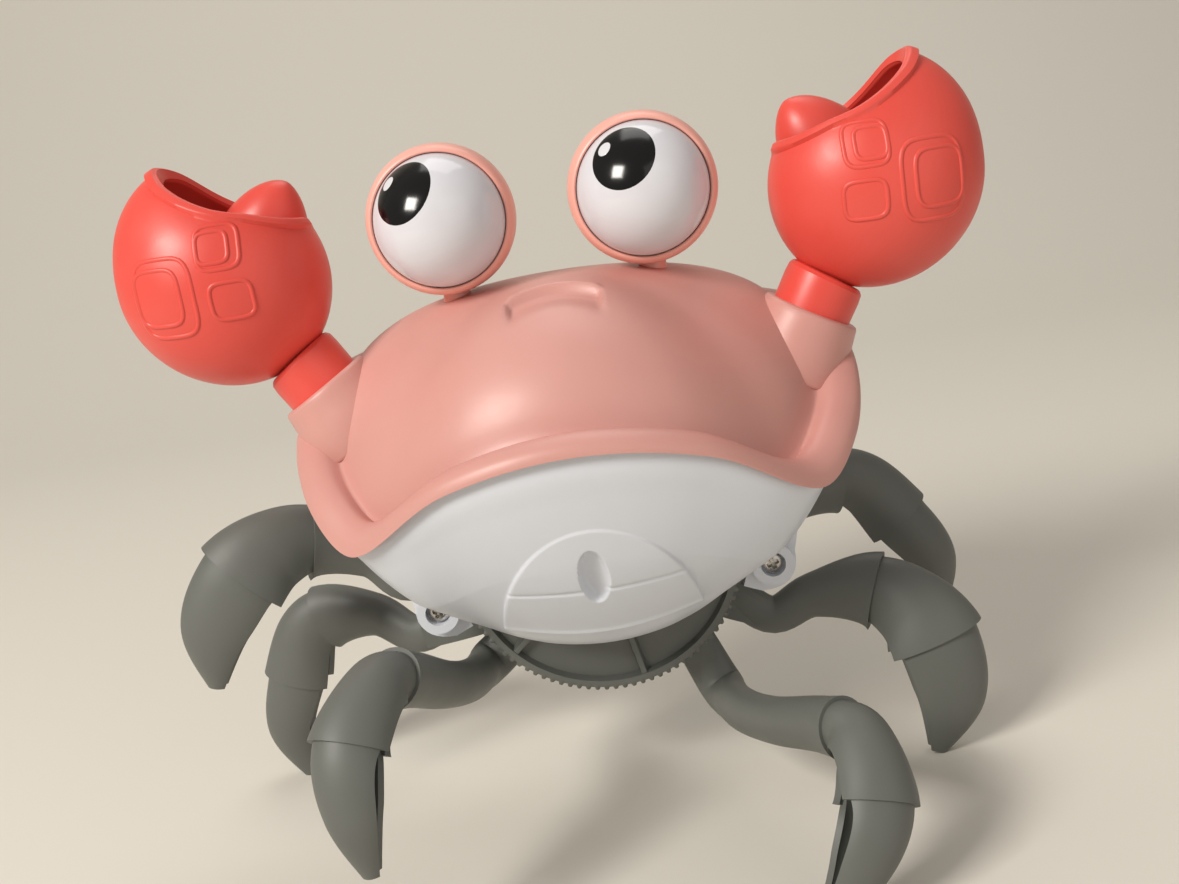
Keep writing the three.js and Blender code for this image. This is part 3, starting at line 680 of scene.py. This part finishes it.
# Collars: turned-looking coral sockets pressed into the shoulders of the shell, each with a
# chamfered lip that the claw's neck turns in. A pink ledge of the shell stands round each one.
coral_plastic = moulded("coral_red_plastic", tint(228, 84, 72), tint(220, 76, 65), (0.34, 0.44), 1500, 0.05)
coral_shader = coral_plastic.node_tree.nodes["Principled BSDF"]
coral_shader.inputs["Subsurface Weight"].default_value = 0.1
coral_shader.inputs["Subsurface Radius"].default_value = (0.003, 0.001, 0.0008)
COLLAR_SIDE = [(0.02, -6.8), (6.8, -6.8), (7.35, -6.2), (7.45, -3.0), (7.5, 1.6), (7.55, 4.0), (7.4, 5.2),
               (6.9, 5.9), (6.4, 6.1), (5.9, 6.1), (5.2, 5.4), (0.02, 5.4)]
SHOULDER_SIDE = [(7.0, 1.2), (8.5, 1.2), (9.0, 1.0), (9.25, 0.5), (9.4, -0.5), (10.0, -4.0), (11.9, -10.8),
                 (11.5, -11.4), (7.0, -11.4)]
CLAW_LEAN = math.radians(30)
SHOULDER = (46.5, 2.0, 41.0)
COLLAR_LIP = 2.2
LIP_SLANT = 0.5


def claw_frame(side):
    """The middle of a collar, the direction of its axis and the direction across it, inward."""
    axis = Vector((side * math.sin(CLAW_LEAN), 0.0, math.cos(CLAW_LEAN)))
    inward = Vector((-side * math.cos(CLAW_LEAN), 0.0, math.sin(CLAW_LEAN)))
    sideways, forward, up = SHOULDER
    return crab_point(side * sideways, forward, up), axis, inward


for side, word in ((-1, "left"), (1, "right")):
    base, axis, inward = claw_frame(side)
    rings = []
    for radius, along in COLLAR_SIDE:
        ring = []
        for j in range(64):
            turn = math.tau * j / 64
            lip = ease(1.0, 5.2, along) * (COLLAR_LIP + LIP_SLANT * math.cos(turn))
            out = inward * math.cos(turn) + BACK * math.sin(turn)
            ring.append(base + MM * (axis * (along + lip) + out * radius))
        rings.append(ring)
    collar = skin(f"coral_collar_{word}", rings, caps=(True, True), sharp=24)
    rounded = collar.modifiers.new("rounded", "BEVEL")
    rounded.width = 0.3 * MM
    rounded.segments = 2
    fit(collar, "body", "coral_plastic", coral_plastic, f"collar_{word}")
    ledge_rings = []
    for radius, along in SHOULDER_SIDE + SHOULDER_SIDE[:1]:
        ledge_rings.append(hoop(base + MM * along * axis, inward, BACK, radius, 64))
    ledge = skin(f"pink_shoulder_{word}", ledge_rings, sharp=50)
    fit(ledge, "body", "pink_shell", pink_plastic)

# Claws: hollow balls moulded in coral plastic, each turning by its neck in its collar. A slanting mouth
# is cut across the ball, with a raised lip along its front edge, a pointed finger at one end and a
# blunt thumb behind. Rounded squares stand in relief on the front.
FRONT = Vector((0, -1, 0))
CLAW_RADIUS = 19.9
CLAW_ALONG = 27.1
CLAW_OUTWARD = 1.6
CLAW_WALL = 2.0
CLAW_FLATNESS = 0.82
CLAW_SQUAT = 0.94
FINGER_STRETCH = 0.19
LIP_PROUD = 0.85
LIP_WIDTH = 2.2
MOUTH_TURN = math.radians(67)
MOUTH_RIM = [(0, 67), (40, 64), (85, 53), (112, 42.5), (145, 36), (165, 35.5), (180, 36.5), (198, 39.5),
             (240, 41.5), (275, 46), (315, 56), (360, 67)]
NECK_SIDE = [(4.6, 5.5), (4.8, 7.0), (5.0, 8.6), (5.4, 10.6)]
SQUARES = [(3.5, -5.6, 5.6, 7.0), (4.3, -6.6, 4.4, 5.0), (4.6, 7.6, 3.7, 3.8), (5.1, 6.9, 2.7, 2.7),
           (-4.1, 3.8, 3.6, 3.3)]
SQUARE_SLANT = math.radians(-30)
SQUARE_POINTS = 72
RIDGE_HALF_WIDTH = 0.42
RIDGE_PROUD = 0.24


def finger_stretch(turn_deg, height):
    away = abs(turn_deg % 360 - 180)
    return 1 + FINGER_STRETCH * math.exp(-((away / 36) ** 2)) * ease(-35, 40, height)


def ball_point(centre, mouth, lip, turn_deg, height, radius):
    turn = math.radians(turn_deg)
    level = math.radians(height)
    reach = radius * finger_stretch(turn_deg, height)
    flat = math.cos(level)
    squat = CLAW_SQUAT if height < 0 else 1.0
    upward = mouth * squat * math.sin(level)
    outward = lip * flat * math.cos(turn) + FRONT * CLAW_FLATNESS * flat * math.sin(turn)
    return centre + MM * reach * (upward + outward)


def on_ball(centre, mouth, lip, flat):
    """The point of the ball's front that lies over a spot of its middle plane."""
    stretch = 1.0
    for _ in range(5):
        up = flat.dot(mouth) / (CLAW_RADIUS * stretch)
        up /= CLAW_SQUAT if up < 0 else 1.0
        side_share = flat.dot(lip) / (CLAW_RADIUS * stretch)
        front = math.sqrt(max(0.0, 1 - up**2 - side_share**2))
        turn_deg = math.degrees(math.atan2(front, side_share))
        height = math.degrees(math.asin(max(-1.0, min(1.0, up))))
        stretch = finger_stretch(turn_deg, height)
    return ball_point(centre, mouth, lip, turn_deg, height, CLAW_RADIUS)


def hollow_ball(centre, mouth, lip):
    """Rings up the outside of the ball to the rim of its mouth, and down again inside."""
    outside = []
    inside = []
    for step in range(81):
        w = 1 - (1 - step / 80) ** 1.5
        ring = []
        hollow = []
        for j in range(144):
            turn_deg = 360 * j / 144
            rim = through(MOUTH_RIM, turn_deg)
            height = -89.9 + (rim + 89.9) * w
            to_rim = math.radians(rim - height) * CLAW_RADIUS
            front_share = ease(-0.35, 0.25, math.sin(math.radians(turn_deg)))
            band = LIP_PROUD * front_share * (1 - ease(LIP_WIDTH - 0.25, LIP_WIDTH, to_rim))
            edge = 0.55 * (1 - ease(0.0, 0.7, to_rim))
            ring.append(ball_point(centre, mouth, lip, turn_deg, height, CLAW_RADIUS + band - edge))
            within = CLAW_RADIUS - CLAW_WALL + 0.5 * edge
            hollow.append(ball_point(centre, mouth, lip, turn_deg, height, within))
        outside.append(ring)
        inside.append(hollow)
    return outside + inside[::-1]


def thumb_rings(centre, mouth, lip):
    """Rings of the thumb, from deep in the mouth to its blunt tip. Sizes are shares of the ball."""
    rings = []
    for step in range(33):
        w = 1 - (1 - step / 32) ** 2
        height = 0.3 + 0.82 * w
        girth = 0.46 * (1 - w**1.9) ** 0.6 + 0.0004
        ring = []
        for j in range(48):
            turn = math.tau * j / 48
            spot = mouth * height + lip * (0.12 - 0.04 * w + girth * math.cos(turn))
            spot += BACK * (0.3 - 0.12 * w + 0.9 * girth * math.sin(turn))
            ring.append(centre + MM * CLAW_RADIUS * spot)
        rings.append(ring)
    return rings


def square_ridge(centre, mouth, lip, axis, inward, square):
    """Rings of a low ridge that runs round a rounded square on the front of the ball."""
    along, across, half_wide, half_high = square
    path = []
    for j in range(SQUARE_POINTS):
        turn = math.tau * j / SQUARE_POINTS
        squash = (abs(math.cos(turn)) ** 4 + abs(math.sin(turn)) ** 4) ** -0.25
        u = half_wide * squash * math.cos(turn)
        v = half_high * squash * math.sin(turn)
        a = along + u * math.sin(SQUARE_SLANT) + v * math.cos(SQUARE_SLANT)
        b = across + u * math.cos(SQUARE_SLANT) - v * math.sin(SQUARE_SLANT)
        flat = axis * a + inward * b
        here = on_ball(centre, mouth, lip, flat)
        beside = on_ball(centre, mouth, lip, flat + axis * 0.2)
        above = on_ball(centre, mouth, lip, flat + inward * 0.2)
        normal = (beside - here).cross(above - here).normalized()
        if normal.y > 0:
            normal = -normal
        path.append((here, normal))
    rings = []
    for j in range(SQUARE_POINTS):
        here, normal = path[j]
        ahead = (path[(j + 1) % SQUARE_POINTS][0] - path[j - 1][0]).normalized()
        out = normal.cross(ahead).normalized()
        rings.append(hoop(here, out * RIDGE_HALF_WIDTH, normal * RIDGE_PROUD, 1.0, 8))
    rings.append(rings[0])
    return rings


for side, word in ((-1, "left"), (1, "right")):
    base, axis, inward = claw_frame(side)
    centre = base + MM * (axis * CLAW_ALONG - inward * CLAW_OUTWARD)
    mouth = axis * math.cos(MOUTH_TURN) + inward * math.sin(MOUTH_TURN)
    lip = inward * math.cos(MOUTH_TURN) - axis * math.sin(MOUTH_TURN)
    neck = [hoop(base + MM * along * axis, inward, BACK, radius, 48) for radius, along in NECK_SIDE]
    pieces = [
        skin(f"coral_claw_{word}", hollow_ball(centre, mouth, lip), caps=(True, True), sharp=65),
        skin(f"thumb_{word}", thumb_rings(centre, mouth, lip), caps=(True, True), sharp=60),
        skin(f"neck_{word}", neck, caps=(True, True), sharp=40),
    ]
    for square in SQUARES:
        ridge = square_ridge(centre, mouth, lip, axis, inward, square)
        pieces.append(skin(f"ridge_{word}", ridge, sharp=80))
    claw = join(pieces, 55)
    fit(claw, f"{word}_claw", "coral_plastic", coral_plastic, f"claw_{word}")

# Eyes: a pink cup and stalk moulded in one, with a glossy white ball snapped in. The black pupil and
# its white spark are printed on the ball.
eye_plastic = moulded("eye_ring_pink", tint(242, 176, 162), tint(237, 168, 154), (0.3, 0.4), 1500, 0.04)
pupil_ink = moulded("pupil_black", tint(14, 13, 14), tint(18, 17, 18), (0.12, 0.2), 800, 0.01)
BALL_RADIUS = 12.1
EYE_HEIGHT = 69.5
EYE_APART = 18.6
EYE_FORWARD = 5.0
BALL_FORWARD = 2.2
STALK_BACK = 3.0
PUPIL_SPREAD = 30.5
SPARK_SPREAD = 7.0
CUP_SIDE = [(0.05, -13.8), (3.4, -13.4), (6.6, -12.1), (9.45, -10.0), (11.7, -7.3), (13.1, -4.2),
            (13.7, -1.5), (13.8, 0.6), (13.65, 2.3), (13.3, 3.5), (12.85, 4.25), (12.4, 4.5),
            (12.15, 4.35), (12.05, 3.8), (12.2, 1.9)]
STALK_SIDE = [(2.5, -13.4), (2.6, -14.6), (2.8, -15.6), (3.2, -16.8), (4.0, -18.0), (5.2, -18.8),
              (5.4, -20.5)]
for side, word, gaze in ((-1, "left", (-0.41, -0.7, 0.55)), (1, "right", (-0.26, -0.77, 0.55))):
    middle = crab_point(side * EYE_APART, EYE_FORWARD, EYE_HEIGHT)
    rings = [hoop(middle + MM * forward * FRONT, ACROSS, UP, radius, 72) for radius, forward in CUP_SIDE]
    cup = skin(f"eye_cup_{word}_pink", rings, caps=(True, False), sharp=60)
    smooth = cup.modifiers.new("smooth", "SUBSURF")
    smooth.levels = 1
    smooth.render_levels = 1
    fit(cup, "body", "eye_ring", eye_plastic, f"eye_cup_{word}")
    stalk_rings = []
    for radius, down in STALK_SIDE:
        stalk_rings.append(hoop(middle + MM * Vector((0, STALK_BACK, down)), ACROSS, BACK, radius, 48))
    stalk = skin(f"eye_stalk_{word}", stalk_rings, caps=(True, True), sharp=60)
    fit(stalk, "body", "eye_ring", eye_plastic)
    centre = middle + MM * BALL_FORWARD * FRONT
    rings = []
    for step in range(49):
        level = math.pi * step / 48
        slice_middle = centre + MM * BALL_RADIUS * math.cos(level) * FRONT
        rings.append(hoop(slice_middle, ACROSS, UP, BALL_RADIUS * math.sin(level), 96))
    ball = skin(f"white_eyeball_{word}", rings, sharp=80)
    fit(ball, "body", "eye_white", white_plastic, f"eyeball_{word}")
    look = Vector(gaze).normalized()
    level_side = look.cross(UP).normalized()
    level_up = level_side.cross(look).normalized()
    spark = (look + 0.30 * level_side + 0.16 * level_up).normalized()
    for label, middle_look, spread, lift, ink in (("pupil", look, PUPIL_SPREAD, 0.03, pupil_ink),
                                                  ("spark", spark, SPARK_SPREAD, 0.06, white_plastic)):
        rings = []
        for step in range(17):
            level = math.radians(spread * step / 16)
            reach = BALL_RADIUS + (lift if step < 16 else 0.0)
            ring = []
            for j in range(64):
                turn = math.tau * j / 64
                out = level_side * 0.92 * math.cos(turn) + level_up * math.sin(turn)
                direction = middle_look * math.cos(level) + out * math.sin(level)
                ring.append(centre + MM * reach * direction.normalized())
            rings.append(ring)
        print_patch = skin(f"{label}_{word}", rings, sharp=80)
        fit(print_patch, "body", "black_plastic" if label == "pupil" else "eye_white", ink)
